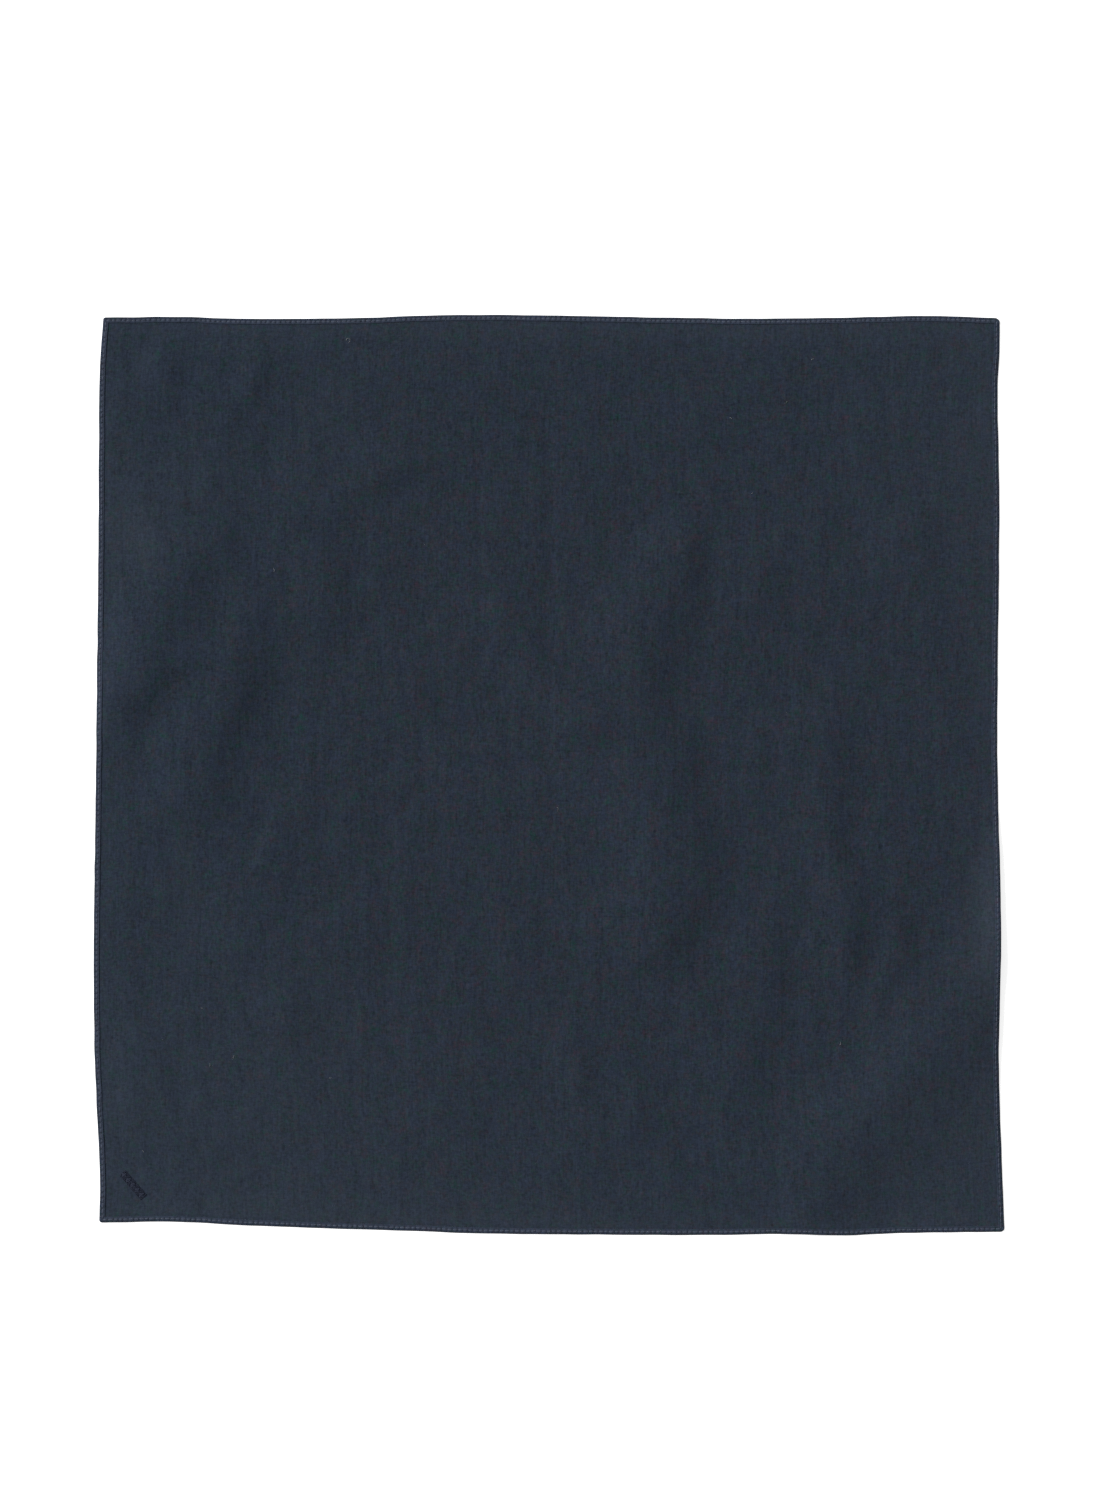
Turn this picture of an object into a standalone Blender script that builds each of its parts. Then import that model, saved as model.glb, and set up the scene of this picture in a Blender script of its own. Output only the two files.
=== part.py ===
"""A square handkerchief of plain-woven navy cotton, laid out flat on its face-down side.

It is one cut of cloth, turned in twice along its four sides as narrow stitched hems,
with a small tonal run of satin-stitched lozenges across its lower left corner.

Metres, +Z up. The origin is on the resting plane, under the middle of the outline.
+X runs to the right-hand hem and +Y to the top hem.
"""

import math
from typing import NamedTuple

import bmesh
import bpy

MM = 0.001

# Driving sizes
WIDTH = 449.0 * MM
LENGTH = 455.4 * MM
WALL = 1.0 * MM
HEM_WIDTH = 2.9 * MM
HEM_WALL = 1.5 * MM
HEM_EDGE_ROUND = 0.45 * MM
SEAM_GAP = 0.3 * MM
CORNER_RADIUS = 2.4 * MM
CORNER_STATIONS = (0.0, 0.35, 1.0)
CELLS_ACROSS = 44
CELLS_ALONG = 44

HALF_WIDTH = WIDTH / 2
HALF_LENGTH = LENGTH / 2
PANEL_INSET = HEM_WIDTH + SEAM_GAP

# Embroidery: a run of lozenges on a line that falls across the lower left corner
MOTIF_CENTRE = (-207.1 * MM, -204.2 * MM)
MOTIF_HEADING = math.radians(-49)
MOTIF_LENGTH = 19.8 * MM
MOTIF_WIDTH = 3.8 * MM
MOTIF_NECK = 1.0 * MM
MOTIF_LOZENGES = 5
MOTIF_WALL = 0.4 * MM

COLLECTION = "handkerchief"


class Station(NamedTuple):
    """How far a side stands out from its straight nominal line at one place along it."""

    along: float
    out_mm: float


class Fold(NamedTuple):
    """A soft crest from its upper end to its lower end, in millimetres.

    It bows towards its east flank by bow, and falls away over the west and east flanks.
    """

    top_x: float
    top_y: float
    foot_x: float
    foot_y: float
    bow: float
    west: float
    east: float
    rise: float


class Finish(NamedTuple):
    """Base colour, roughness and metallic value of a material."""

    colour: tuple
    roughness: float
    metallic: float


# The laid cloth's sides wander by a millimetre or two. The left and right sides are read
# from the bottom up, the bottom and top sides from left to right.
LEFT_SIDE = (
    Station(0.00, -0.6), Station(0.06, -0.7), Station(0.13, 0.8), Station(0.20, 2.0),
    Station(0.33, 2.2), Station(0.46, 1.4), Station(0.60, 0.6), Station(0.73, 0.0),
    Station(0.86, -0.3), Station(0.95, -0.9), Station(1.00, -2.6),
)
RIGHT_SIDE = (
    Station(0.00, 2.3), Station(0.06, 1.3), Station(0.13, 0.1), Station(0.20, -0.6),
    Station(0.33, 0.4), Station(0.46, -0.7), Station(0.55, -1.3), Station(0.73, -0.4),
    Station(0.80, -0.2), Station(0.92, -1.1), Station(0.97, 0.0), Station(1.00, -0.2),
)
BOTTOM_SIDE = (
    Station(0.00, -4.7), Station(0.08, -5.3), Station(0.15, -3.7), Station(0.25, -1.9),
    Station(0.35, -0.6), Station(0.42, 0.6), Station(0.55, 1.2), Station(0.68, 1.4),
    Station(0.75, 0.9), Station(0.82, 1.5), Station(0.89, 0.4), Station(1.00, -0.2),
)
TOP_SIDE = (
    Station(0.00, 0.1), Station(0.08, 0.5), Station(0.15, -0.4), Station(0.28, -0.2),
    Station(0.35, 1.0), Station(0.42, 1.5), Station(0.55, 0.8), Station(0.62, 0.2),
    Station(0.72, -0.4), Station(0.82, 0.1), Station(0.92, 0.9), Station(1.00, -0.1),
)

# The largest folds. Between them the cloth lies flat on the resting plane.
FOLDS = (
    Fold(70, 142, 42, 8, bow=-9, west=22, east=13, rise=2.2),
    Fold(58, 28, 56, -112, bow=8, west=27, east=14, rise=2.3),
    Fold(-166, 150, -232, 14, bow=6, west=30, east=17, rise=2.4),
    Fold(-140, 104, -180, -44, bow=3, west=17, east=13, rise=2.2),
    Fold(246, -88, 92, -212, bow=6, west=16, east=14, rise=2.3),
    Fold(136, 44, 150, -108, bow=5, west=15, east=12, rise=1.5),
    Fold(-34, 96, 18, 6, bow=3, west=15, east=12, rise=1.2),
    Fold(232, -16, 212, -128, bow=4, west=20, east=14, rise=1.6),
)
FADE = 0.34
SETTLE_MM = 0.12

CLOTH = Finish((0.030, 0.038, 0.052), 0.9, 0.0)
THREAD = Finish((0.018, 0.020, 0.036), 0.7, 0.0)


def read_side(side, along):
    """Return a side's outward offset in metres, on a smooth curve through its stations."""
    last = len(side) - 1
    lower = max(i for i in range(last) if side[i].along <= along or i == 0)
    near, far = side[lower], side[lower + 1]
    before, after = side[max(lower - 1, 0)], side[min(lower + 2, last)]
    span = far.along - near.along
    near_slope = (far.out_mm - before.out_mm) / (far.along - before.along) * span
    far_slope = (after.out_mm - near.out_mm) / (after.along - near.along) * span
    t = min(max((along - near.along) / span, 0.0), 1.0)
    offset = (
        near.out_mm * (2 * t**3 - 3 * t**2 + 1)
        + near_slope * (t**3 - 2 * t**2 + t)
        + far.out_mm * (3 * t**2 - 2 * t**3)
        + far_slope * (t**3 - t**2)
    )
    return offset * MM


def smooth_step(value):
    """Ease from 0 to 1 as value goes from 0 to 1."""
    value = min(max(value, 0.0), 1.0)
    return value * value * (3 - 2 * value)


def fold_rise(fold, x_mm, y_mm):
    """Return one fold's height in millimetres over a place on the cloth."""
    run_x, run_y = fold.foot_x - fold.top_x, fold.foot_y - fold.top_y
    reach = math.hypot(run_x, run_y)
    run_x, run_y = run_x / reach, run_y / reach
    from_x, from_y = x_mm - fold.top_x, y_mm - fold.top_y
    along = (from_x * run_x + from_y * run_y) / reach
    aside = from_y * run_x - from_x * run_y - fold.bow * 4 * along * (1 - along)
    flank = fold.east if aside > 0 else fold.west
    ends = smooth_step(along / FADE) * smooth_step((1 - along) / FADE)
    return fold.rise * ends * math.exp(-((aside / flank) ** 2))


def rise(x, y):
    """Return the height of the cloth's underside over the resting plane."""
    total = sum(fold_rise(fold, x / MM, y / MM) for fold in FOLDS)
    return max(total - SETTLE_MM, 0.0) * MM


def rounded(x, y):
    """Draw a point near one of the four outer corners in, so that the corner is round."""
    over_x = abs(x) - (HALF_WIDTH - CORNER_RADIUS)
    over_y = abs(y) - (HALF_LENGTH - CORNER_RADIUS)
    if over_x <= 0 or over_y <= 0:
        return x, y
    pull = max(over_x, over_y) / math.hypot(over_x, over_y)
    round_x = HALF_WIDTH - CORNER_RADIUS + over_x * pull
    round_y = HALF_LENGTH - CORNER_RADIUS + over_y * pull
    return math.copysign(round_x, x), math.copysign(round_y, y)


def laid(x, y):
    """Place a point of the nominal rectangle on the laid cloth's underside."""
    x, y = rounded(x, y)
    across, along = x / WIDTH + 0.5, y / LENGTH + 0.5
    left, right = read_side(LEFT_SIDE, along), read_side(RIGHT_SIDE, along)
    bottom, top = read_side(BOTTOM_SIDE, across), read_side(TOP_SIDE, across)
    laid_x = x - left * (1 - across) + right * across
    laid_y = y - bottom * (1 - along) + top * along
    return laid_x, laid_y, rise(laid_x, laid_y)


def even_steps(low, high, count):
    """Return count + 1 evenly spaced values from low to high."""
    return [low + (high - low) * i / count for i in range(count + 1)]


def make_material(name, finish):
    """Make a Principled material with one colour, roughness and metallic value."""
    material = bpy.data.materials.new(name)
    material.use_nodes = True
    shader = material.node_tree.nodes["Principled BSDF"]
    shader.inputs["Base Color"].default_value = (*finish.colour, 1.0)
    shader.inputs["Roughness"].default_value = finish.roughness
    shader.inputs["Metallic"].default_value = finish.metallic
    return material


def make_sheet(name, columns, rows, place, wall, finish):
    """Lay a grid of columns by rows with place(column, row), and thicken it upwards."""
    shell = bmesh.new()
    bmesh.ops.create_grid(shell, x_segments=len(columns) - 1, y_segments=len(rows) - 1, size=0.5)
    for vertex in shell.verts:
        column = columns[round((vertex.co.x + 0.5) * (len(columns) - 1))]
        row = rows[round((vertex.co.y + 0.5) * (len(rows) - 1))]
        vertex.co = place(column, row)
    mesh = bpy.data.meshes.new(name)
    shell.to_mesh(mesh)
    shell.free()
    mesh.materials.append(make_material(name, finish))
    sheet = bpy.data.objects.new(name, mesh)
    bpy.data.collections[COLLECTION].objects.link(sheet)
    thicken = sheet.modifiers.new("wall", "SOLIDIFY")
    thicken.thickness = wall
    thicken.offset = 1.0
    return sheet


def round_edges(sheet, radius):
    """Round the long and end edges of a thick strip."""
    bevel = sheet.modifiers.new("rounded edges", "BEVEL")
    bevel.width = radius
    bevel.segments = 1
    bevel.limit_method = "ANGLE"
    bevel.angle_limit = math.radians(60)


def make_panel(columns, rows):
    """Make the single cloth inside the four hems."""
    return make_sheet("cloth_panel", columns, rows, laid, WALL, CLOTH)


def make_end_hem(name, side, columns):
    """Make the top (side 1) or bottom (side -1) hem, which runs the full width."""
    corner = [HALF_WIDTH - PANEL_INSET * inset for inset in CORNER_STATIONS]
    stations = [-x for x in corner[:-1]] + columns + corner[-2::-1]
    edge = sorted((side * HALF_LENGTH, side * (HALF_LENGTH - HEM_WIDTH)))
    rows = [edge[0], sum(edge) / 2, edge[1]]
    round_edges(make_sheet(name, stations, rows, laid, HEM_WALL, CLOTH), HEM_EDGE_ROUND)


def make_side_hem(name, side, rows):
    """Make the right (side 1) or left (side -1) hem, which butts against the end hems."""
    edge = sorted((side * HALF_WIDTH, side * (HALF_WIDTH - HEM_WIDTH)))
    columns = [edge[0], sum(edge) / 2, edge[1]]
    round_edges(make_sheet(name, columns, rows, laid, HEM_WALL, CLOTH), HEM_EDGE_ROUND)


def make_corner_embroidery():
    """Make the run of lozenges, from the panel's points moved out past its wall."""
    half_steps = 2 * MOTIF_LOZENGES
    run_x, run_y = math.cos(MOTIF_HEADING), math.sin(MOTIF_HEADING)

    def on_panel(step, aside):
        """Place a point of the run, step half lozenges along and aside of its middle line."""
        half_width = MOTIF_WIDTH / 2 if step % 2 else MOTIF_NECK / 2
        along = MOTIF_LENGTH * (step / half_steps - 0.5)
        x = MOTIF_CENTRE[0] + run_x * along - run_y * aside * half_width
        y = MOTIF_CENTRE[1] + run_y * along + run_x * aside * half_width
        return x, y, rise(x, y) + WALL + SEAM_GAP

    steps = list(range(half_steps + 1))
    make_sheet("corner_embroidery", steps, [-1, 0, 1], on_panel, MOTIF_WALL, THREAD)


def main():
    """Clear the scene and make the handkerchief's pieces."""
    for old in list(bpy.data.objects):
        bpy.data.objects.remove(old)
    bpy.context.scene.collection.children.link(bpy.data.collections.new(COLLECTION))
    panel_half_width = HALF_WIDTH - PANEL_INSET
    panel_half_length = HALF_LENGTH - PANEL_INSET
    columns = even_steps(-panel_half_width, panel_half_width, CELLS_ACROSS)
    rows = even_steps(-panel_half_length, panel_half_length, CELLS_ALONG)
    make_panel(columns, rows)
    make_end_hem("hem_top", 1, columns)
    make_end_hem("hem_bottom", -1, columns)
    make_side_hem("hem_right", 1, rows)
    make_side_hem("hem_left", -1, rows)
    make_corner_embroidery()


if __name__ == "__main__":
    main()
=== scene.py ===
"""Looks of a square navy handkerchief, laid out flat and seen from straight above.

The single cloth, its four turned hems, the hem stitching, the corner embroidery and the lint
on it are each built by a class, in metres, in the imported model's own frame: +X runs to the
right-hand hem, +Y to the top hem, and the cloth rests on the plane z = 0.
"""

import logging
import math
from collections.abc import Sequence
from dataclasses import dataclass, field
from enum import Enum, IntEnum
from itertools import pairwise
from typing import Protocol

import bmesh
import bpy
import numpy as np
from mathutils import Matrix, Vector


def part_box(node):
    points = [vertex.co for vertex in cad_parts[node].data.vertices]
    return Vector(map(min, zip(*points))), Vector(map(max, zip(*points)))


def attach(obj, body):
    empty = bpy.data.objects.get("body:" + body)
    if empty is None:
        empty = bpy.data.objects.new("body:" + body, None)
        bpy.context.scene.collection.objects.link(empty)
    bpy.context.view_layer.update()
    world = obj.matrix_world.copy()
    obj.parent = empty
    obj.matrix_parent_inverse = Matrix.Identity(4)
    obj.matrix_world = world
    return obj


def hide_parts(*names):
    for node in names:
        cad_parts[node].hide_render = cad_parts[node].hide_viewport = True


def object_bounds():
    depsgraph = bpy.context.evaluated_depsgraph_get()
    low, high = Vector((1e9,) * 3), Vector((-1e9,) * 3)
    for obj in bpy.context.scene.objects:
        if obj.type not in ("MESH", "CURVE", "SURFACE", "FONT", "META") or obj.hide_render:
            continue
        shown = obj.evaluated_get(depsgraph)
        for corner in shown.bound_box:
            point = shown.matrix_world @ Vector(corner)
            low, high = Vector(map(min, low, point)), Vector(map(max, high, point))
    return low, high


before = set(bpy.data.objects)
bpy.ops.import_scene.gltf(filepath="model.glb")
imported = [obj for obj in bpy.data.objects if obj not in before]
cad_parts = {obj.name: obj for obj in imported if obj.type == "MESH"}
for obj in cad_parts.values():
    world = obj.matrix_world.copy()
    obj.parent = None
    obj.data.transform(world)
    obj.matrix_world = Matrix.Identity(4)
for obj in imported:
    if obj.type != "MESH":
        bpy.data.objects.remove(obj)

LOG = logging.getLogger("handkerchief")
CAD_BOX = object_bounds()
MM = 0.001
BODY = "root"
# Name of the mesh attribute that holds how much paler each point is painted: wear, and painted
# light and shade.
WEAR_AND_PAINTED_LIGHT = "worn"
CLOTH_WALL = 0.35 * MM

# What the type hints call the things that go to and fro.
Array = np.ndarray
Colour = tuple[float, float, float]
Piece = bpy.types.Object
Socket = bpy.types.NodeSocket
Feed = Socket | float | tuple


# --- The laid-out form of the cloth ---


class Side(Enum):
    """A side of the handkerchief: its hem's solid, the axis it faces along, and which way."""

    LEFT = ("hem_left", 0, -1)
    RIGHT = ("hem_right", 0, 1)
    BOTTOM = ("hem_bottom", 1, -1)
    TOP = ("hem_top", 1, 1)

    @property
    def node(self) -> str:
        """Name of the hem's solid."""
        return self.value[0]

    @property
    def axis(self) -> int:
        """Axis that the side faces along, 0 for X and 1 for Y."""
        return self.value[1]

    @property
    def sign(self) -> int:
        """1 where the side faces the positive end of its axis, and -1 elsewhere."""
        return self.value[2]


class Seed(IntEnum):
    """Where each random draw starts. Where the sides draw apart, they count on from it."""

    PATCHINESS = 3
    DIMPLES = 5
    SWELLS = 6
    STRAY_ACROSS = 7
    STRAY_ALONG = 8
    SIDE_LINES = 20
    HEM_LEAN = 60
    NEEDLE_HOLES = 100
    STITCHES = 200
    EMBROIDERY = 300
    FUZZ = 400

    def on(self, side: Side) -> int:
        """Return one side's own seed."""
        return self + list(Side).index(side)


def ease(value: Array) -> Array:
    """Return an eased step from 0 to 1 as value goes from 0 to 1."""
    value = np.clip(value, 0.0, 1.0)
    return value * value * (3 - 2 * value)


def read_evenly(values: tuple[float, ...], share: Array) -> Array:
    """Read a smooth curve through values that stand at even steps from 0 to 1.

    Args:
        values: one value or more.
        share: where to read, from 0 to 1.

    Returns:
        The curve's values.
    """
    if len(values) == 1:
        return np.full(np.shape(share), float(values[0]))
    held = np.array([values[0], *values, values[-1]], float)
    place = np.clip(share, 0, 1) * (len(values) - 1)
    span = np.minimum(place.astype(int), len(values) - 2)
    t = place - span
    before, start, end, after = (held[span + step] for step in range(4))
    bend = 2 * before - 5 * start + 4 * end - after + t * (3 * (start - end) + after - before)
    return start + 0.5 * t * (end - before + t * bend)


@dataclass(frozen=True)
class Fold:
    """A soft crest, or a trough where rise is negative, in millimetres.

    It runs from top to foot. sway, west, east and rise stand at even steps along it: how far
    it strays to its east, the widths of its two flanks, and its height. It fades out over a
    share of its length at each end.
    """

    top: tuple[float, float]
    foot: tuple[float, float]
    west: tuple[float, ...]
    east: tuple[float, ...]
    rise: tuple[float, ...]
    sway: tuple[float, ...] = (0.0,)
    fade: float = 0.22

    def height(self, x: Array, y: Array) -> Array:
        """Work out how far the fold lifts the cloth.

        Args:
            x: places across the cloth, in millimetres.
            y: places along the cloth, in millimetres.

        Returns:
            Heights in millimetres.
        """
        run = np.subtract(self.foot, self.top)
        reach = float(np.hypot(*run))
        run = run / reach
        from_x, from_y = x - self.top[0], y - self.top[1]
        along = (from_x * run[0] + from_y * run[1]) / reach
        aside = from_y * run[0] - from_x * run[1] - read_evenly(self.sway, along)
        flank = np.where(aside > 0, read_evenly(self.east, along), read_evenly(self.west, along))
        ends = ease(along / self.fade) * ease((1 - along) / self.fade)
        return read_evenly(self.rise, along) * ends * np.exp(-((aside / flank) ** 2))


def pucker(top: tuple[float, float], foot: tuple[float, float], west: float, east: float,
           rise: float, fade: float = 0.45) -> Fold:
    """Return a short, shallow fold with even flanks, which fades over most of its length."""
    return Fold(top, foot, west=(west,), east=(east,), rise=(rise,), fade=fade)


FOLDS = (
    # The long S right of the middle, in two overlapping lengths.
    Fold((70, 140), (56, -6), west=(12, 23, 26, 28, 34, 34), east=(8, 10, 16, 15, 21, 15),
         rise=(0.6, 2.0, 2.3, 2.5, 2.1, 1.1), sway=(0, -1, -11, -14, -17, -8), fade=0.22),
    Fold((64, 34), (58, -116), west=(34, 38, 36, 31, 24, 16), east=(14, 15, 17, 20, 14, 12),
         rise=(0.5, 2.5, 3.1, 2.6, 2.5, 1.0), sway=(-2, -3, -2, 4, -5, 0)),
    # The lifted stretch of the left edge, and the ridge that runs down inside it.
    Fold((-168, 176), (-228, -2), west=(26, 22, 19, 14, 9, 8), east=(18, 20, 21, 21, 14, 10),
         rise=(0.5, 1.4, 2.0, 2.4, 2.0, 0.8), sway=(11, 18, 8, 1, 0, 2), fade=0.25),
    Fold((-130, 114), (-170, -50), west=(12, 16, 22, 24, 26, 20), east=(9, 12, 14, 15, 12, 9),
         rise=(0.5, 1.5, 2.3, 2.2, 1.5, 0.7), sway=(-12, -12, -7, -17, -9, 0)),
    Fold((-150, 80), (-208, -32), west=(9, 8, 9, 10, 10, 10), east=(14,),
         rise=(0.3, 0.6, 0.2, 0.2, 0.6, 0.5), sway=(4, 4, 5, 5, 2, 0), fade=0.2),
    pucker((-152, 74), (-218, 36), 26, 10, 1.5, fade=0.35),
    # The broad diagonal fold across the lower right corner.
    Fold((242, -94), (98, -216), west=(20, 24, 25, 22, 23, 22), east=(30, 28, 26, 25, 27, 28),
         rise=(1.0, 2.3, 3.0, 3.1, 2.9, 1.5), sway=(-6, -4, 2, 7, 7, 2), fade=0.12),
    # The lifted right edge, the fold beside it and its neighbours.
    Fold((236, 14), (224, -118), west=(8, 10, 12, 15, 11), east=(14,),
         rise=(0.6, 1.5, 2.2, 2.6, 1.1)),
    Fold((140, 60), (150, -124), west=(14, 15, 14, 13, 12, 11), east=(12, 13, 13, 12, 11, 9),
         rise=(0.6, 1.2, 1.1, 1.8, 2.3, 1.1), sway=(2, -5, -8, -1, -3, -3)),
    Fold((120, -36), (86, -182), west=(24,), east=(13,), rise=(0.5, 0.9, 0.9, 0.8, 0.6),
         sway=(0, -2, -2, 0, 0), fade=0.3),
    Fold((116, -20), (125, -114), west=(16,), east=(9,), rise=(0.4,), sway=(0, 1, 0), fade=0.4),
    pucker((107, -74), (114, -146), 15, 10, 0.3, fade=0.4),
    Fold((176, -28), (160, -130), west=(8,), east=(8,), rise=(0.2, 0.4, 0.9, 0.8),
         sway=(0, 1, 4, 4, -3), fade=0.3),
    # The shallow crease that slants through the middle.
    Fold((-36, 95), (26, 9), west=(12, 13, 12), east=(9, 14, 15), rise=(0.5, 1.4, 1.8, 1.2),
         fade=0.2),
    pucker((-30, 34), (-28, -34), 26, 18, 0.8, fade=0.4),
    # The broken creases of the upper left.
    Fold((-142, 156), (-112, 50), west=(16,), east=(15,), rise=(0.9, 1.3, 1.2, 0.9),
         sway=(-2, 8, 13, 10, 0), fade=0.28),
    Fold((-48, 168), (-122, 132), west=(17,), east=(11,), rise=(0.7, 1.5, 1.2, 0.7), fade=0.35),
    pucker((-132, 176), (-112, 138), 11, 9, 0.5, fade=0.4),
    Fold((-142, 226), (-170, 156), west=(9,), east=(9,), rise=(0.6, 1.0, 0.7, 0.3),
         sway=(0, 5, 6, 1, 0), fade=0.3),
    pucker((-195, 226), (-189, 178), 9, 11, 0.8, fade=0.4),
    # The rubbed-up left edge below, and the soft line beside the embroidery.
    pucker((-212, -114), (-186, -184), 18, 10, 0.8, fade=0.4),
    # Shallow puckers, mostly upright.
    pucker((-192, -24), (-188, -84), 9, 12, 0.5),
    pucker((-174, -96), (-175, -140), 11, 8, 0.5),
    pucker((-130, -100), (-124, -140), 10, 8, 0.5),
    pucker((-84, -176), (-62, -206), 10, 8, 0.5),
    pucker((-150, -146), (-146, -196), 9, 9, 0.4),
    pucker((-61, 62), (-64, 18), 12, 8, 0.5),
    Fold((-90, -40), (-110, -106), west=(14,), east=(9,), rise=(0.8,), sway=(0, 4, 3, 0), fade=0.4),
    pucker((-136, -90), (-132, -138), 11, 9, 0.5),
    pucker((-96, 2), (-94, -52), 11, 9, 0.45),
    pucker((-68, 68), (-66, 8), 12, 9, 0.6),
    pucker((-18, -52), (-20, -138), 13, 10, 0.5),
    pucker((-74, -46), (-72, -104), 11, 9, 0.4),
    pucker((12, -116), (14, -176), 12, 10, 0.7),
    pucker((43, -144), (43, -200), 11, 9, 0.5),
    pucker((92, -128), (88, -204), 14, 11, 0.5),
    pucker((78, 176), (80, 116), 10, 9, 0.5),
    pucker((132, 152), (135, 96), 12, 11, 0.7),
    pucker((182, 146), (180, 78), 20, 10, 1.0),
    pucker((100, 132), (106, 60), 14, 13, 0.6),
    pucker((97, 74), (102, 22), 10, 10, 0.4),
    Fold((-131, 0), (-148, -60), west=(3.5,), east=(26,), rise=(0.5, 0.7, 1.2, 0.9),
         sway=(0, -1, -2, -1, 0), fade=0.3),
)

# The two lines that stay from its being pressed in quarters.
PRESSED_LINES = (
    Fold((1, 240), (-1, -240), west=(4.5,), east=(5.5,), rise=(-0.22,), sway=(0, 0.6, 0),
         fade=0.03),
    Fold((240, 1), (-240, 3), west=(5,), east=(4,), rise=(-0.16,), sway=(0, -1, 0), fade=0.03),
)


@dataclass(frozen=True)
class Faded:
    """A softly paler patch of the cloth, partly dye paling and partly painted light on folds and
    lifted edges: its middle, its reach each way and how pale.
    """

    x: float
    y: float
    reach_x: float
    reach_y: float
    amount: float

    def read(self, x: Array, y: Array) -> Array:
        """Return how much paler places given in millimetres are."""
        spread = ((x - self.x) / self.reach_x) ** 2 + ((y - self.y) / self.reach_y) ** 2
        return self.amount * np.exp(-spread)


# Paler patches: partly dye paling, partly painted light where folds and lifted edges face the key
# light.
PALER_PATCHES = (
    Faded(-168, -180, 110, 80, 0.14),
    Faded(-60, -235, 150, 30, 0.10),
    Faded(-205, 117, 13, 18, 0.22),
    Faded(-190, 148, 38, 30, 0.08),
    Faded(-108, 180, 18, 22, 0.06),
    Faded(-202, 206, 6, 9, 0.10),
    Faded(-180, -62, 16, 42, 0.09),
    Faded(-205, -166, 12, 18, 0.05),
    Faded(224, -75, 15, 36, 0.30),
    Faded(195, -195, 60, 55, 0.12),
    Faded(210, 165, 60, 80, 0.08),
    Faded(15, -190, 80, 50, 0.025),
    Faded(60, 235, 200, 26, 0.06),
)


@dataclass(frozen=True)
class Ripples:
    """Small random undulations: waves of many headings and lengths, the same on every run."""

    seed: int
    shortest: float
    longest: float
    waves: int = 40

    def read(self, x: Array, y: Array) -> Array:
        """Add the waves up.

        Args:
            x: places across the cloth, in metres.
            y: places along the cloth, in metres.

        Returns:
            Values spread about 0, with a standard deviation near 1.
        """
        draw = np.random.default_rng(self.seed)
        headings = draw.uniform(0, math.tau, self.waves)
        lengths = draw.uniform(self.shortest, self.longest, self.waves)
        phases = draw.uniform(0, math.tau, self.waves)
        total = np.zeros(np.broadcast(x, y).shape)
        for heading, length, phase in zip(headings, lengths, phases):
            across = x * math.cos(heading) + y * math.sin(heading)
            total += np.cos(math.tau * across / length + phase)
        return total / math.sqrt(self.waves / 2)

    def along(self, place: Array) -> Array:
        """Return the waves' sum along a line."""
        return self.read(place, 0 * place)


@dataclass(frozen=True)
class SideLine:
    """The outer line of one side: how far out it stands, against the place along it."""

    along: Array
    out: Array

    @classmethod
    def trace(cls, side: Side, corner: float = 4 * MM, gap: float = 2 * MM) -> "SideLine":
        """Trace the outermost edge of a hem's solid, leaving out its rounded corners.

        Args:
            side: the side to trace.
            corner: length left out at each end of the handkerchief's box.
            gap: the least distance between one section of the solid and the next.

        Returns:
            The line, with out as a signed coordinate.
        """
        points = np.array([v.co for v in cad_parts[side.node].data.vertices])
        low, high = CAD_BOX[0][1 - side.axis], CAD_BOX[1][1 - side.axis]
        along, out = points[:, 1 - side.axis], points[:, side.axis] * side.sign
        order = np.argsort(along)
        along, out = along[order], out[order]
        breaks = np.flatnonzero(np.diff(along) > gap) + 1
        stations = np.array([part.mean() for part in np.split(along, breaks)])
        outs = np.array([part.max() for part in np.split(out, breaks)])
        kept = (stations > low + corner) & (stations < high - corner)
        return cls(stations[kept], outs[kept] * side.sign)

    def read(self, along: Array) -> Array:
        """Read the line as a smooth curve, which runs on straight past its ends.

        Args:
            along: places along the side.

        Returns:
            The side's coordinate at each place.
        """
        slopes = np.gradient(self.out, self.along)
        held = np.clip(along, self.along[0], self.along[-1])
        span = np.clip(np.searchsorted(self.along, held) - 1, 0, len(self.along) - 2)
        width = self.along[span + 1] - self.along[span]
        t = (held - self.along[span]) / width
        smooth = (
            self.out[span] * (2 * t**3 - 3 * t**2 + 1)
            + slopes[span] * width * (t**3 - 2 * t**2 + t)
            + self.out[span + 1] * (3 * t**2 - 2 * t**3)
            + slopes[span + 1] * width * (t**3 - t**2)
        )
        return smooth + (along - held) * np.interp(held, self.along, slopes)


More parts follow.
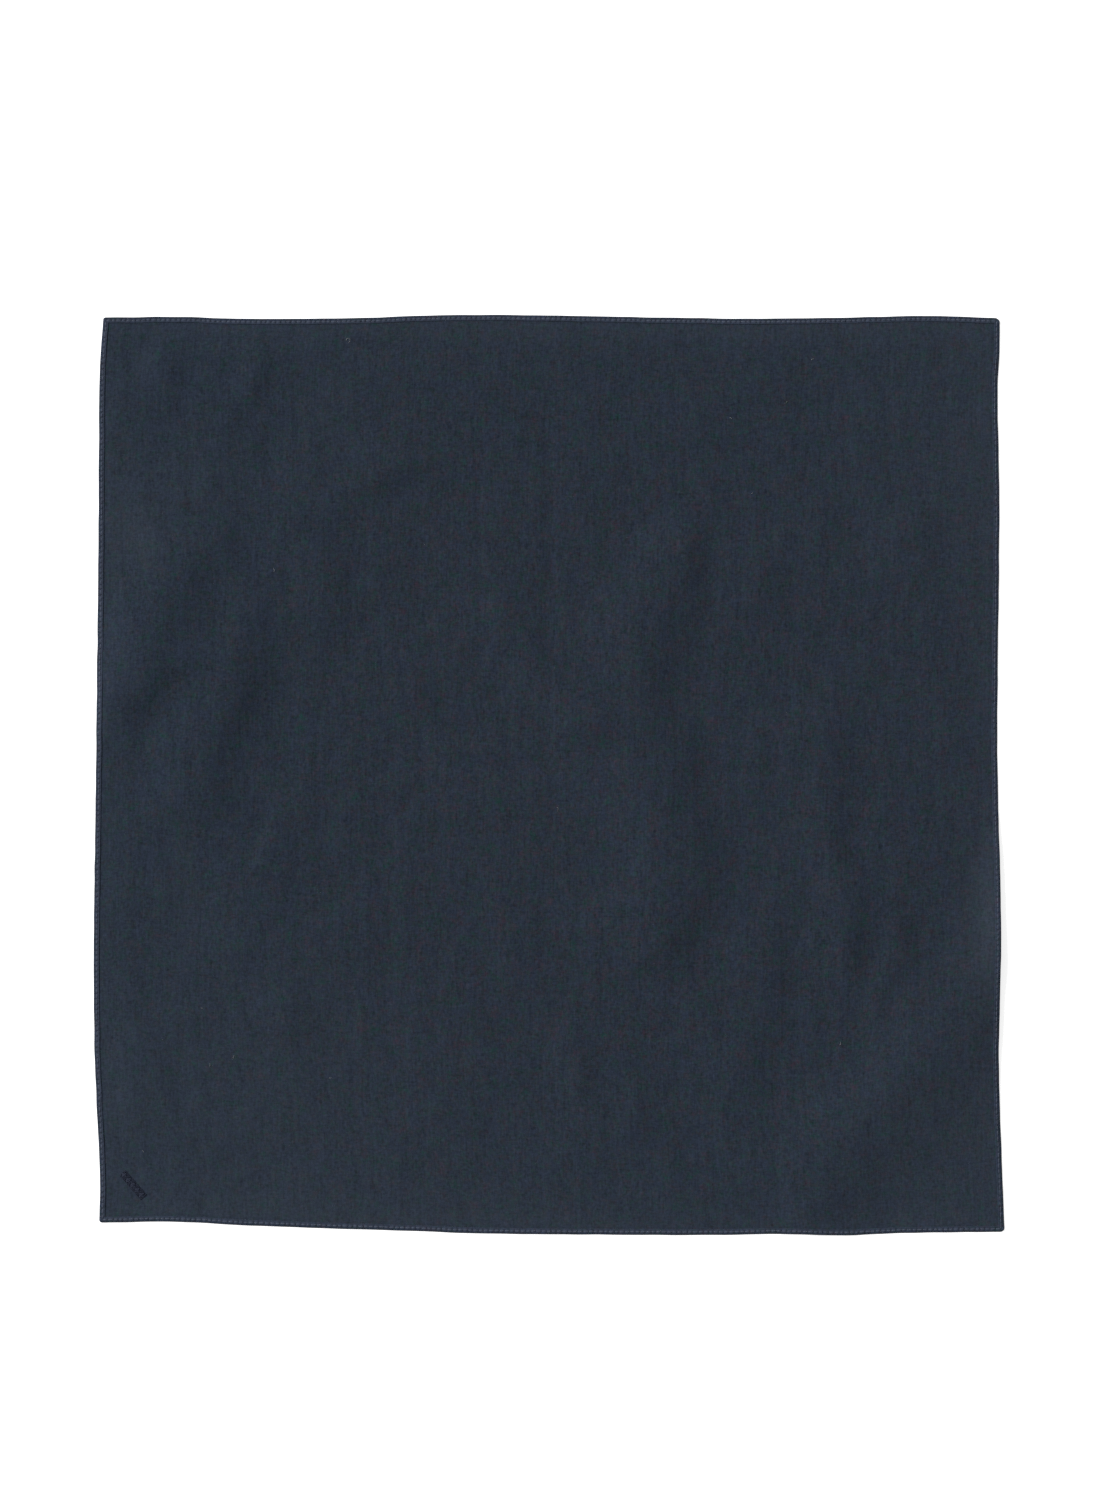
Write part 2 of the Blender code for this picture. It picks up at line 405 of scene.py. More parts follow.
@dataclass
class ClothForm:
    """The laid-out cloth: where each place of the hemmed square lies, and how high.

    corner_radii go bottom left, bottom right, top left, top right. settle, in millimetres, is
    how much of a fold's foot sinks flat.
    """

    corner_radii: tuple[float, ...] = (1.5 * MM, 2.2 * MM, 1.0 * MM, 2.6 * MM)
    settle: float = 0.12
    rest_lift: float = 0.28 * MM
    rest_reach: float = 16 * MM
    dimple: float = 0.05 * MM
    dimples: Ripples = Ripples(Seed.DIMPLES, 11 * MM, 30 * MM, waves=60)
    patchiness: Ripples = Ripples(Seed.PATCHINESS, 90 * MM, 200 * MM)
    patchy_share: float = 0.4
    swell: float = 0.12 * MM
    swells: Ripples = Ripples(Seed.SWELLS, 34 * MM, 90 * MM)
    stray: float = 1.4 * MM
    stray_across: Ripples = Ripples(Seed.STRAY_ACROSS, 24 * MM, 70 * MM)
    stray_along: Ripples = Ripples(Seed.STRAY_ALONG, 24 * MM, 70 * MM)
    wobble: float = 0.05 * MM
    wobble_lengths: tuple[float, float] = (9 * MM, 34 * MM)
    # Painted light that makes the cloth paler towards the hems, and painted shade that holds the
    # paling back in the crevice beside them.
    edge_fade: float = 0.22
    edge_fade_reach: float = 8 * MM
    crevice: float = 3.1 * MM
    crevice_reach: float = 1.0 * MM
    crevice_painted_shade: float = 0.65
    lines: dict[Side, SideLine] = field(init=False)
    half: tuple[float, float] = field(init=False)

    def __post_init__(self) -> None:
        """Trace the four sides of the solids."""
        self.lines = {side: SideLine.trace(side) for side in Side}
        means = {side: float(np.mean(line.out)) for side, line in self.lines.items()}
        self.half = (
            (means[Side.RIGHT] - means[Side.LEFT]) / 2,
            (means[Side.TOP] - means[Side.BOTTOM]) / 2,
        )

    def rounded(self, x: Array, y: Array) -> tuple[Array, Array]:
        """Draw places near the outer corners in, so that each corner is round.

        Args:
            x: nominal places across.
            y: nominal places along.

        Returns:
            The nominal places, moved.
        """
        x, y = np.array(x, float), np.array(y, float)
        bottom_left, bottom_right, top_left, top_right = self.corner_radii
        radius = np.where(
            y > 0,
            np.where(x > 0, top_right, top_left),
            np.where(x > 0, bottom_right, bottom_left),
        )
        over_x = np.abs(x) - (self.half[0] - radius)
        over_y = np.abs(y) - (self.half[1] - radius)
        corner = (over_x > 0) & (over_y > 0)
        reach = np.hypot(over_x, over_y)
        pull = np.where(corner, np.maximum(over_x, over_y) / np.where(corner, reach, 1), 1)
        moved_x = np.sign(x) * (self.half[0] - radius + over_x * pull)
        moved_y = np.sign(y) * (self.half[1] - radius + over_y * pull)
        return np.where(corner, moved_x, x), np.where(corner, moved_y, y)

    def edge(self, side: Side, along: Array) -> Array:
        """Return the coordinate of one side's outer edge, with its small unevenness."""
        uneven = Ripples(Seed.SIDE_LINES.on(side), *self.wobble_lengths).along(along)
        return self.lines[side].read(along) + self.wobble * uneven

    def plan(self, x: Array, y: Array) -> tuple[Array, Array]:
        """Find where places of the nominal square lie on the plan.

        Args:
            x: nominal places across, from minus to plus half the width.
            y: nominal places along, from minus to plus half the length.

        Returns:
            The laid-out places.
        """
        x, y = self.rounded(x, y)
        across = x / (2 * self.half[0]) + 0.5
        along = y / (2 * self.half[1]) + 0.5
        laid_x, laid_y = x, y
        for _ in range(2):
            west, east = self.edge(Side.LEFT, laid_y), self.edge(Side.RIGHT, laid_y)
            laid_x = west * (1 - across) + east * across
            south, north = self.edge(Side.BOTTOM, laid_x), self.edge(Side.TOP, laid_x)
            laid_y = south * (1 - along) + north * along
        return laid_x, laid_y

    def inward(self, x: Array, y: Array) -> Array:
        """Return how far in from the nearest side places lie."""
        return np.minimum(self.half[0] - np.abs(x), self.half[1] - np.abs(y))

    def height(self, x: Array, y: Array) -> Array:
        """Work out how high the cloth's underside lies.

        Args:
            x: laid-out places across, in metres.
            y: laid-out places along, in metres.

        Returns:
            Heights in metres, never below the resting plane.
        """
        x_mm = (x + self.stray * self.stray_across.read(x, y)) / MM
        y_mm = (y + self.stray * self.stray_along.read(x, y)) / MM
        folds = sum(fold.height(x_mm, y_mm) for fold in FOLDS)
        lifted = np.maximum(folds - self.settle, 0.0) * MM
        small = sum(line.height(x_mm, y_mm) for line in PRESSED_LINES) * MM
        patchy = 1 - self.patchy_share + self.patchy_share * self.patchiness.read(x, y)
        small += self.dimple * patchy * self.dimples.read(x, y)
        small += self.swell * self.swells.read(x, y)
        inner = ease(self.inward(x, y) / self.rest_reach)
        return np.maximum(lifted + inner * (self.rest_lift + small), 0.0)

    def faded(self, x: Array, y: Array) -> Array:
        """Work out how much paler the cloth is painted: painted light towards the hems, the paler
        patches, and painted shade in the crevice beside the hems, where the paling is held back.

        Args:
            x: places across, in metres.
            y: places along, in metres.

        Returns:
            Shares from 0 to 1.
        """
        inward = self.inward(x, y)
        # Painted light towards the hems, and painted shade in the crevice beside them.
        edges = self.edge_fade * np.exp(-inward / self.edge_fade_reach)
        faded = edges + sum(patch.read(x / MM, y / MM) for patch in PALER_PATCHES)
        in_crevice = np.exp(-(((inward - self.crevice) / self.crevice_reach) ** 2))
        return faded * (1 - self.crevice_painted_shade * in_crevice)

    def laid(self, x: Array, y: Array) -> Array:
        """Return the points of the cloth's underside for nominal places, as (..., 3)."""
        laid_x, laid_y = self.plan(x, y)
        return np.stack([laid_x, laid_y, self.height(laid_x, laid_y)], -1)


# --- Mesh building ---


@dataclass
class MeshSketch:
    """Collects grids of points into one mesh, with a measure at each point and how much paler it is
    painted, by wear and painted light.

    The measure is where a point lies on the flat cloth, or along and round its thread.
    """

    points: list[Array] = field(default_factory=list)
    measures: list[Array] = field(default_factory=list)
    worn: list[Array] = field(default_factory=list)
    faces: list[list[int]] = field(default_factory=list)
    count: int = 0

    def add_grid(
        self, points: Array, measure: Array, worn: Array | float = 0.0, ring: bool = False
    ) -> None:
        """Add a grid of quads, or a capped tube whose sections are the grid's rows.

        Args:
            points: (sections, points in each, 3) corners of the quads.
            measure: the measure of each point.
            worn: how much paler each point is painted, by wear and painted light, from 0 to 1.
            ring: True closes each section round and caps the two ends.
        """
        sections, each = points.shape[:2]
        index = self.count + np.arange(sections * each).reshape(sections, each)
        if ring:
            index = np.concatenate([index, index[:, :1]], axis=1)
        quads = np.stack([index[:-1, :-1], index[1:, :-1], index[1:, 1:], index[:-1, 1:]], -1)
        self.faces += quads.reshape(-1, 4).tolist()
        if ring:
            self.faces += [index[0, :-1].tolist(), index[-1, -2::-1].tolist()]
        self.points.append(points.reshape(-1, 3))
        self.measures.append(np.broadcast_to(measure, points.shape).reshape(-1, 3))
        self.worn.append(np.broadcast_to(worn, (sections, each)).ravel())
        self.count += sections * each

    def build(self, name: str, material: bpy.types.Material, measure: str) -> Piece:
        """Turn the grids into an object with smooth, outward faces.

        Args:
            name: the piece's name.
            material: its finish.
            measure: name of the attribute that keeps the measure.

        Returns:
            The new object, linked to the scene.
        """
        mesh = bpy.data.meshes.new(name)
        mesh.from_pydata(np.concatenate(self.points).tolist(), [], self.faces)
        turned = bmesh.new()
        turned.from_mesh(mesh)
        bmesh.ops.recalc_face_normals(turned, faces=turned.faces)
        turned.to_mesh(mesh)
        turned.free()
        layer = mesh.attributes.new(measure, "FLOAT_VECTOR", "POINT")
        layer.data.foreach_set("vector", np.concatenate(self.measures).astype(np.float32).ravel())
        layer = mesh.attributes.new(WEAR_AND_PAINTED_LIGHT, "FLOAT", "POINT")
        layer.data.foreach_set("value", np.concatenate(self.worn).astype(np.float32))
        mesh.shade_smooth()
        mesh.materials.append(material)
        piece = bpy.data.objects.new(name, mesh)
        bpy.context.scene.collection.objects.link(piece)
        return piece


def tube_sections(path: Array, radii: Array, sides: int, flatten: float = 1.0) -> Array:
    """Sweep an oval section along a path that lies mostly level.

    Args:
        path: (n, 3) middle line.
        radii: (n,) radius at each point.
        sides: points in each section.
        flatten: the section's height as a share of its width.

    Returns:
        (n, sides, 3) points of the sections.
    """
    run = np.gradient(path, axis=0)
    run /= np.linalg.norm(run, axis=1, keepdims=True)
    aside = np.cross(run, [0.0, 0.0, 1.0])
    aside /= np.maximum(np.linalg.norm(aside, axis=1, keepdims=True), 1e-9)
    up = np.cross(aside, run)
    turn = np.linspace(0, math.tau, sides, endpoint=False)[:, None]
    ring = aside[:, None] * np.cos(turn) + up[:, None] * np.sin(turn) * flatten
    return path[:, None] + ring * radii[:, None, None]


def thread_measure(along: Array, sides: int, shade: float) -> Array:
    """Measure the sections of a thread.

    Args:
        along: how far along the thread each section stands.
        sides: points in each section.
        shade: a number that sets this thread's shade apart.

    Returns:
        (sections, sides, 3) distance along, share of the way round, and shade.
    """
    measure = np.empty((len(along), sides, 3))
    measure[..., 0] = along[:, None]
    measure[..., 1] = np.linspace(0, 1, sides, endpoint=False)
    measure[..., 2] = shade
    return measure


# --- Shader graphs ---


class Graph:
    """A node tree that is built up one node at a time."""

    def __init__(self, tree: bpy.types.NodeTree) -> None:
        """Keep the tree."""
        self.tree = tree

    def feed(self, socket: Socket, value: Feed) -> None:
        """Link a socket to an output, or set its value.

        Args:
            socket: the input.
            value: an output socket, a number, a vector, or a colour of three numbers.
        """
        if isinstance(value, Socket):
            self.tree.links.new(value, socket)
        elif socket.type == "RGBA":
            socket.default_value = (*value, 1.0)
        else:
            socket.default_value = value

    def add(self, kind: str, inputs: dict | None = None, **settings: object) -> bpy.types.Node:
        """Add a node.

        Args:
            kind: the node's type, without its ShaderNode prefix.
            inputs: values or outputs for its inputs, by name or number.
            settings: the node's own properties.

        Returns:
            The new node.
        """
        node = self.tree.nodes.new("ShaderNode" + kind)
        for name, value in settings.items():
            setattr(node, name, value)
        for key, value in (inputs or {}).items():
            self.feed(node.inputs[key], value)
        return node

    def maths(self, operation: str, *values: Feed, clamp: bool = False) -> Socket:
        """Return the result of a maths operation on one, two or three values."""
        node = self.add("Math", dict(enumerate(values)), operation=operation, use_clamp=clamp)
        return node.outputs[0]

    def vector(self, operation: str, *values: Feed) -> Socket:
        """Return the vector result of a vector operation."""
        return self.add("VectorMath", dict(enumerate(values)), operation=operation).outputs[0]

    def scale(self, vector: Feed, factor: Feed) -> Socket:
        """Return a vector or colour, scaled."""
        return self.add("VectorMath", {0: vector, "Scale": factor}, operation="SCALE").outputs[0]

    def join(self, x: Feed, y: Feed, z: Feed) -> Socket:
        """Return a vector made of three values."""
        return self.add("CombineXYZ", {0: x, 1: y, 2: z}).outputs[0]

    def split(self, vector: Feed) -> list[Socket]:
        """Return a vector's three values."""
        return list(self.add("SeparateXYZ", {0: vector}).outputs)

    def mix(self, share: Feed, first: Feed, second: Feed) -> Socket:
        """Return a colour mixed from first to second by share."""
        inputs = {0: share, 6: first, 7: second}
        return self.add("Mix", inputs, data_type="RGBA").outputs[2]

    def noise(self, place: Feed, detail: float = 2.0, rough: float = 0.5) -> Socket:
        """Return a noise of unit scale, from 0 to 1, at a scaled place."""
        inputs = {"Vector": place, "Scale": 1.0, "Detail": detail, "Roughness": rough}
        return self.add("TexNoise", inputs).outputs[0]

    def fit(
        self,
        value: Feed,
        given: tuple[float, float],
        wanted: tuple[float, float] = (0.0, 1.0),
        eased: bool = False,
    ) -> Socket:
        """Stretch one range of a value to another.

        Args:
            value: the value.
            given: the ends of its range.
            wanted: what those ends become.
            eased: True eases in and out.

        Returns:
            The stretched value, clamped to the wanted range.
        """
        inputs = {"Value": value, "From Min": given[0], "From Max": given[1]}
        inputs |= {"To Min": wanted[0], "To Max": wanted[1]}
        way = "SMOOTHSTEP" if eased else "LINEAR"
        return self.add("MapRange", inputs, interpolation_type=way).outputs[0]

    def group(self, tree: bpy.types.NodeTree, **inputs: Feed) -> bpy.types.bpy_prop_collection:
        """Place a node group.

        Args:
            tree: the group.
            inputs: values or outputs, by the input's name in lower case with underscores.

        Returns:
            The group's outputs, by name.
        """
        node = self.add("Group", node_tree=tree)
        for socket in node.inputs:
            key = socket.name.lower().replace(" ", "_")
            if key in inputs:
                self.feed(socket, inputs[key])
        return node.outputs


class SharedEffect(Graph):
    """A shader node group with named inputs and outputs."""

    def __init__(self, name: str, inputs: dict[str, str], outputs: dict[str, str]) -> None:
        """Make the group and its sockets.

        Args:
            name: the group's name.
            inputs: kind of each input, by name.
            outputs: kind of each output, by name.
        """
        super().__init__(bpy.data.node_groups.new(name, "ShaderNodeTree"))
        for way, sockets in (("INPUT", inputs), ("OUTPUT", outputs)):
            for socket, kind in sockets.items():
                self.tree.interface.new_socket(
                    name=socket, in_out=way, socket_type="NodeSocket" + kind
                )
        self.given = self.tree.nodes.new("NodeGroupInput").outputs
        self.result = self.tree.nodes.new("NodeGroupOutput").inputs

    def give(self, **results: Feed) -> bpy.types.NodeTree:
        """Feed the group's outputs.

        Args:
            results: values or outputs, by the group output's name.

        Returns:
            The finished group.
        """
        for name, value in results.items():
            self.feed(self.result[name], value)
        return self.tree


class SharedEffects:
    """The node groups that more than one finish uses."""

    def __init__(self) -> None:
        """Build each group once."""
        self.weave = self.make_weave()
        self.slubs = self.make_slubs()
        self.dye = self.make_dye()
        self.wear_and_light = self.make_wear_and_light()
        self.twist = self.make_twist()

    @staticmethod
    def make_weave() -> bpy.types.NodeTree:
        """Make the plain weave: over and under yarns, each of its own shade.

        Returns:
            A group from a place in metres to the yarns' height and shade, each from 0 to 1,
            and a mask of where the cross yarns lie on top.
        """
        made = SharedEffect(
            "plain weave",
            {"Place": "Vector", "Ends per mm": "Float", "Picks per mm": "Float", "Wander": "Float"},
            {"Height": "Float", "Shade": "Float", "Crossing": "Float"},
        )
        given = made.given
        drifts_per_mm, rise, crown, shade_step, shade_drift = 0.22, 0.42, 0.58, 7.31, 0.12
        millimetres = made.scale(given["Place"], 1 / MM)
        drift = made.add(
            "TexNoise", {"Vector": millimetres, "Scale": drifts_per_mm, "Detail": 1.0}
        ).outputs["Color"]
        centred = made.vector("SUBTRACT", drift, (0.5, 0.5, 0.5))
        place = made.split(made.vector("ADD", millimetres, made.scale(centred, given["Wander"])))
        end = made.maths("MULTIPLY", place[0], given["Ends per mm"])
        pick = made.maths("MULTIPLY", place[1], given["Picks per mm"])
        end_index, pick_index = made.maths("FLOOR", end), made.maths("FLOOR", pick)
        crowns, waves = [], []
        for yarn in (end, pick):
            aside = made.maths("MULTIPLY_ADD", made.maths("FRACT", yarn), 2.0, -1.0)
            hollow = made.maths("MULTIPLY", aside, aside)
            crowns.append(made.maths("MULTIPLY", made.maths("SUBTRACT", 1.0, hollow), crown))
            waves.append(made.maths("COSINE", made.maths("MULTIPLY", aside, math.pi / 2)))
        parity = made.maths("FLOORED_MODULO", made.maths("ADD", end_index, pick_index), 2.0)
        end_up = made.maths("MULTIPLY_ADD", parity, -2 * rise, rise)
        pick_up = made.maths("MULTIPLY", end_up, -1.0)
        end_height = made.maths("MULTIPLY_ADD", waves[1], end_up, crowns[0])
        pick_height = made.maths("MULTIPLY_ADD", waves[0], pick_up, crowns[1])
        pick_shows = made.maths("GREATER_THAN", pick_height, end_height)
        shades = []
        for index, along, seed in ((end_index, pick, 11.3), (pick_index, end, 47.9)):
            yarn = made.maths("MULTIPLY", index, shade_step)
            where = made.join(yarn, made.maths("MULTIPLY", along, shade_drift), seed)
            shades.append(made.noise(where, detail=1.0))
        shade = made.add("Mix", {0: pick_shows, 2: shades[0], 3: shades[1]}, data_type="FLOAT")
        height = made.maths("MAXIMUM", end_height, pick_height)
        return made.give(Height=height, Shade=shade.outputs[0], Crossing=pick_shows)

    @staticmethod
    def make_slubs() -> bpy.types.NodeTree:
        """Make the slubs: thick, pale stretches of yarn along both ways of the cloth.

        Returns:
            A group from a place in metres to how thick the yarns are, about 0 to 1.
        """
        sizes = {"Length mm": "Float", "Width mm": "Float", "Cross share": "Float"}
        made = SharedEffect("slub yarns", {"Place": "Vector", **sizes}, {"Thick": "Float"})
        given = made.given
        place = made.split(given["Place"])
        streaks = []
        for across, along, seed in ((0, 1, 3.7), (1, 0, 71.2)):
            width = made.maths("MULTIPLY", given["Width mm"], MM)
            length = made.maths("MULTIPLY", given["Length mm"], MM)
            wide = made.maths("DIVIDE", place[across], width)
            long = made.maths("DIVIDE", place[along], length)
            streak = made.noise(made.join(wide, long, seed), detail=1.0, rough=0.6)
            streaks.append(made.maths("SUBTRACT", streak, 0.5))
        both = made.maths("MULTIPLY_ADD", streaks[1], given["Cross share"], streaks[0])
        return made.give(Thick=made.maths("ADD", both, 0.5))

    @staticmethod
    def make_dye() -> bpy.types.NodeTree:
        """Make the uneven dye: how deep it took, and whether it leans to teal or to violet.

        Returns:
            A group from a place in metres to depth and cast, each about 0 to 1.
        """
        made = SharedEffect(
            "uneven dye",
            {"Place": "Vector", "Patch mm": "Float"},
            {"Depth": "Float", "Cast": "Float"},
        )
        patches_per_metre = made.maths("DIVIDE", 1 / MM, made.given["Patch mm"])
        results = {}
        for output, offset, share in (("Depth", 0.0, 1.0), ("Cast", 9.0, 1.7)):
            scale = made.maths("MULTIPLY", patches_per_metre, share)
            place = made.vector("ADD", made.scale(made.given["Place"], scale), (offset,) * 3)
            results[output] = made.noise(place, detail=3.0, rough=0.62)
        return made.give(**results)

    @staticmethod
    def make_wear_and_light() -> bpy.types.NodeTree:
        """Make the paling: places mix towards a paler colour by wear and by painted light.

        Returns:
            A group from a colour, a paler colour and how far it pales, by wear and painted light,
            to the colour that shows.
        """
        made = SharedEffect(
            "paling by wear and light",
            {"Color": "Color", "Worn Color": "Color", "Worn": "Float", "Grain": "Float"},
            {"Color": "Color"},
        )
        given = made.given
        grain_share, least = 1.2, 0.4
        broken = made.maths("MULTIPLY_ADD", given["Grain"], grain_share, least)
        share = made.maths("MULTIPLY", given["Worn"], broken, clamp=True)
        return made.give(Color=made.mix(share, given["Color"], given["Worn Color"]))

    @staticmethod
    def make_twist() -> bpy.types.NodeTree:
        """Make a twisted thread: plies that wind round it.

        Returns:
            A group from a place along and round the thread to the plies' height and shade.
        """
        made = SharedEffect(
            "twisted thread",
            {"Run": "Vector", "Turns per mm": "Float"},
            {"Height": "Float", "Shade": "Float"},
        )
        along, round_it, thread = made.split(made.given["Run"])
        turns = made.maths("MULTIPLY", made.given["Turns per mm"], 1 / MM)
        wound = made.maths("ADD", made.maths("MULTIPLY", along, turns), round_it)
        wave = made.maths("SINE", made.maths("MULTIPLY", wound, math.tau))
        shade = made.noise(made.join(thread, along, 5.0), detail=2.0)
        return made.give(Height=made.maths("MULTIPLY_ADD", wave, 0.5, 0.5), Shade=shade)


# --- Finishes ---


class MaterialGraph(Graph):
    """A material's own node tree, round its Principled shader."""

    def __init__(self, name: str) -> None:
        """Start the material.

        Args:
            name: its name.
        """
        self.material = bpy.data.materials.new(name)
        self.material.use_nodes = True
        super().__init__(self.material.node_tree)

    def kept(self, attribute: str, output: str) -> Socket:
        """Return a value that the mesh keeps at each point."""
        return self.add("Attribute", attribute_name=attribute).outputs[output]

    def relief(self, height: Feed, distance: float) -> Socket:
        """Return a normal that stands up with height, by distance at most."""
        inputs = {"Strength": 1.0, "Distance": distance, "Height": height}
        return self.add("Bump", inputs).outputs[0]

    def finish(self, inputs: dict[str, Feed]) -> bpy.types.Material:
        """Feed the shader's own sockets.

        Args:
            inputs: values or outputs, by the socket's name.

        Returns:
            The material.
        """
        shader = self.tree.nodes["Principled BSDF"]
        for name, value in inputs.items():
            self.feed(shader.inputs[name], value)
        return self.material


@dataclass(frozen=True)
class Slub:
    """One size of slub, in millimetres: how strongly it shows, and its share on cross yarns."""

    amount: float
    length: float
    width: float
    cross_share: float


@dataclass(frozen=True)
class Cast:
    """One size of patch in the dye, in millimetres, and how far it turns violet or clearer."""

    patch: float
    violet: float
    clear: float


@dataclass(frozen=True)
class ClothFinish:
    """Plain-woven slubby cotton, its upright yarns dyed nearer teal and its cross ones violet.

    The dye leans to teal over a band at the left side, and half as much at the top and bottom.
    """

    name: str
    upright: Colour
    cross: Colour
    clear: Colour
    # The paler colour that wear and painted light mix the cloth towards.
    rubbed_and_lit: Colour
    slot: str = "cloth"
    measure: str = "cloth_place"
    casts: tuple[Cast, ...] = (Cast(1.6, 1.2, 2.8), Cast(5.0, 1.8, 3.2), Cast(17.0, 1.2, 1.3))
    slubs: tuple[Slub, ...] = (
        Slub(0.45, 2.0, 0.95, 0.9), Slub(0.24, 14.0, 1.1, 0.4), Slub(0.13, 50.0, 6.0, 0.3),
    )
    patches: float = 0.14
    patch_mm: float = 7.0
    yarns: float = 0.40
    crossings: float = 0.16
    teal: float = 0.09
    teal_side: tuple[float, float] = (-0.23, -0.05)
    teal_ends: tuple[float, float] = (0.10, 0.23)
    ends_per_mm: float = 2.45
    picks_per_mm: float = 2.3
    wander: float = 0.55
    contrast: float = 1.9
    least: float = 0.02
    roughness: tuple[float, float] = (0.96, 0.80)
    rough_shades: tuple[float, float] = (0.3, 0.7)
    sheen: float = 0.10
    sheen_roughness: float = 0.45
    sheen_tint: Colour = (0.62, 0.72, 0.9)
    specular: float = 0.14
    weave_relief: float = 0.8
    relief: float = 0.06 * MM

    def shade(self, graph: Graph, effects: SharedEffects, place: Socket, yarns: Socket) -> Socket:
        """Mix the slubs, patches and single yarns into one shade.

        Args:
            graph: the material's graph.
            effects: the shared node groups.
            place: the place on the flat cloth.
            yarns: the shade of single yarns.

        Returns:
            An output spread about 0.5.
        """
        shares = []
        for slub in self.slubs:
            thick = graph.group(
                effects.slubs, place=place, length_mm=slub.length, width_mm=slub.width,
                cross_share=slub.cross_share,
            )["Thick"]
            shares.append((slub.amount, thick))
        patches = graph.group(effects.dye, place=place, patch_mm=self.patch_mm)["Depth"]
        total = 0.5
        for amount, value in (*shares, (self.patches, patches), (self.yarns, yarns)):
            centred = graph.maths("SUBTRACT", value, 0.5)
            total = graph.maths("MULTIPLY_ADD", centred, amount, total)
        return total

    def dyed(self, graph: Graph, effects: SharedEffects, place: Socket, crossing: Socket) -> Socket:
        """Mix the dye of the two ways of yarn, uneven in patches of several sizes.

        Args:
            graph: the material's graph.
            effects: the shared node groups.
            place: the place on the flat cloth.
            crossing: 1 where a cross yarn lies on top.

        Returns:
            The colour of the dye.
        """
        violet, clear = 0.5 - self.crossings / 2, 0.5
        for cast in self.casts:
            dye = graph.group(effects.dye, place=place, patch_mm=cast.patch)
            violet = graph.maths("MULTIPLY_ADD", dye["Cast"], cast.violet, violet)
            violet = graph.maths("SUBTRACT", violet, cast.violet / 2)
            clear = graph.maths("MULTIPLY_ADD", dye["Depth"], cast.clear, clear)
            clear = graph.maths("SUBTRACT", clear, cast.clear / 2)
        violet = graph.maths("MULTIPLY_ADD", crossing, self.crossings, violet, clamp=True)
        across, along, _ = graph.split(place)
        side = graph.fit(across, self.teal_side, (1.0, 0.0), eased=True)
        from_middle = graph.maths("ABSOLUTE", along)
        ends = graph.fit(from_middle, self.teal_ends, (0.0, 0.5), eased=True)
        teal = graph.maths("ADD", side, ends)
        violet = graph.maths("MULTIPLY_ADD", teal, -self.teal, violet)
        clear = graph.maths("MULTIPLY_ADD", teal, 2 * self.teal, clear, clamp=True)
        yarn = graph.mix(violet, self.upright, self.cross)
        return graph.mix(clear, yarn, self.clear)

    def make(self, effects: SharedEffects) -> bpy.types.Material:
        """Make the material.

        Args:
            effects: the shared node groups.

        Returns:
            The material.
        """
        graph = MaterialGraph(self.name)
        place = graph.kept(self.measure, "Vector")
        weave = graph.group(
            effects.weave, place=place, ends_per_mm=self.ends_per_mm,
            picks_per_mm=self.picks_per_mm, wander=self.wander,
        )
        shade = self.shade(graph, effects, place, weave["Shade"])
        brightness = graph.maths("MULTIPLY_ADD", shade, self.contrast, self.least)
        yarn = graph.scale(self.dyed(graph, effects, place, weave["Crossing"]), brightness)
        # Paler by wear and by painted light, as the mesh's mask gives.
        worn = graph.group(
            effects.wear_and_light, color=yarn, worn_color=self.rubbed_and_lit,
            worn=graph.kept(WEAR_AND_PAINTED_LIGHT, "Fac"), grain=shade,
        )
        raised = graph.maths("MULTIPLY_ADD", weave["Height"], self.weave_relief, shade)
        return graph.finish({
            "Base Color": worn["Color"],
            "Roughness": graph.fit(shade, self.rough_shades, self.roughness),
            "Specular IOR Level": self.specular,
            "Sheen Weight": self.sheen,
            "Sheen Roughness": self.sheen_roughness,
            "Sheen Tint": self.sheen_tint,
            "Normal": graph.relief(raised, self.relief),
        })


@dataclass(frozen=True)
class ThreadFinish:
    """Twisted cotton thread: random shade, with painted shade in its ply hollows and painted light
    on the plies.
    """

    name: str
    dark: Colour
    light: Colour
    slot: str = "thread"
    measure: str = "thread_run"
    ply_share: float = 0.35
    shades: tuple[float, float] = (0.25, 0.75)
    roughness: tuple[float, float] = (0.70, 0.55)
    specular: float = 0.3
    sheen: float = 0.2
    sheen_roughness: float = 0.4
    turns_per_mm: float = 1.3
    relief: float = 0.05 * MM

    def make(self, effects: SharedEffects) -> bpy.types.Material:
        """Make the material.

        Args:
            effects: the shared node groups.

        Returns:
            The material.
        """
        graph = MaterialGraph(self.name)
        run = graph.kept(self.measure, "Vector")
        twist = graph.group(effects.twist, run=run, turns_per_mm=self.turns_per_mm)
        # Painted shade in the hollows between the plies and painted light on their crowns, mixed
        # with the thread's random shade.
        length = graph.maths("MULTIPLY", twist["Shade"], 1 - self.ply_share)
        mixed = graph.maths("MULTIPLY_ADD", twist["Height"], self.ply_share, length)
        shade = graph.fit(mixed, self.shades)
        worn = graph.group(
            effects.wear_and_light, color=graph.mix(shade, self.dark, self.light), worn_color=self.light,
            worn=graph.kept(WEAR_AND_PAINTED_LIGHT, "Fac"), grain=shade,
        )
        return graph.finish({
            "Base Color": worn["Color"],
            "Roughness": graph.fit(shade, (0.0, 1.0), self.roughness),
            "Specular IOR Level": self.specular,
            "Sheen Weight": self.sheen,
            "Sheen Roughness": self.sheen_roughness,
            "Normal": graph.relief(twist["Height"], self.relief),
        })


